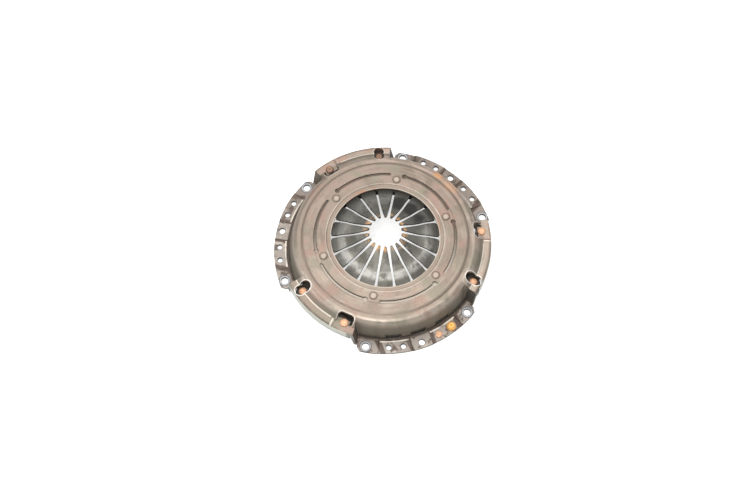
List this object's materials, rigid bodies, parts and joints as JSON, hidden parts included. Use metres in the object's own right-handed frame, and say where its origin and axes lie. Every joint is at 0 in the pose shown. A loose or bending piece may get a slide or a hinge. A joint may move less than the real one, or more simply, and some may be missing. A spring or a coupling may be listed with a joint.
{
  "type": "clutch pressure plate",
  "caption": "Pressed steel clutch cover with a slotted diaphragm spring, drive straps and a cast pressure plate that slides along its axis.",
  "frame": {"origin": "centre of the bolt circle, on the flange face that meets the flywheel", "axes": "+Z along the axis of rotation, away from the flywheel; +X through the middle of the flange with the balance rivets"},
  "size_m": [0.2715, 0.279, 0.0536],
  "materials": {
    "cover_steel": "worn pressed steel, stained brown with a thin film of rust",
    "spring_steel": "smooth spring steel with rust at the finger tips",
    "wire_steel": "drawn wire",
    "strap_steel": "rolled spring strip",
    "rivet_steel": "rivet steel with an orange film of rust",
    "plate_iron": "cast iron, ground on the friction face"
  },
  "bodies": {
    "cover": {"cover": "cover_steel", "diaphragm_spring": "spring_steel", "pivot_ring": "wire_steel", "spacer_rivet_1": "cover_steel", "spacer_rivet_2": "cover_steel", "spacer_rivet_3": "cover_steel", "spacer_rivet_4": "cover_steel", "spacer_rivet_5": "cover_steel", "spacer_rivet_6": "cover_steel", "strap_1_leaf_1": "strap_steel", "strap_1_leaf_2": "strap_steel", "strap_1_leaf_3": "strap_steel", "strap_2_leaf_1": "strap_steel", "strap_2_leaf_2": "strap_steel", "strap_2_leaf_3": "strap_steel", "strap_3_leaf_1": "strap_steel", "strap_3_leaf_2": "strap_steel", "strap_3_leaf_3": "strap_steel", "cover_strap_rivet_1": "rivet_steel", "cover_strap_rivet_2": "rivet_steel", "cover_strap_rivet_3": "rivet_steel", "balance_rivet_low": "rivet_steel", "balance_rivet_tall": "rivet_steel"},
    "pressure_plate": {"pressure_plate": "plate_iron", "plate_strap_rivet_1": "rivet_steel", "plate_strap_rivet_2": "rivet_steel", "plate_strap_rivet_3": "rivet_steel"}
  },
  "joints": [
    {"name": "plate_lift", "type": "slide", "parent": "cover", "child": "pressure_plate", "axis": [0, 0, 1], "range_m": [0, 0.0045], "stiffness_N_per_m": 20000, "deforming": ["diaphragm_spring", "strap_1_leaf_1", "strap_1_leaf_2", "strap_1_leaf_3", "strap_2_leaf_1", "strap_2_leaf_2", "strap_2_leaf_3", "strap_3_leaf_1", "strap_3_leaf_2", "strap_3_leaf_3"]}
  ]
}
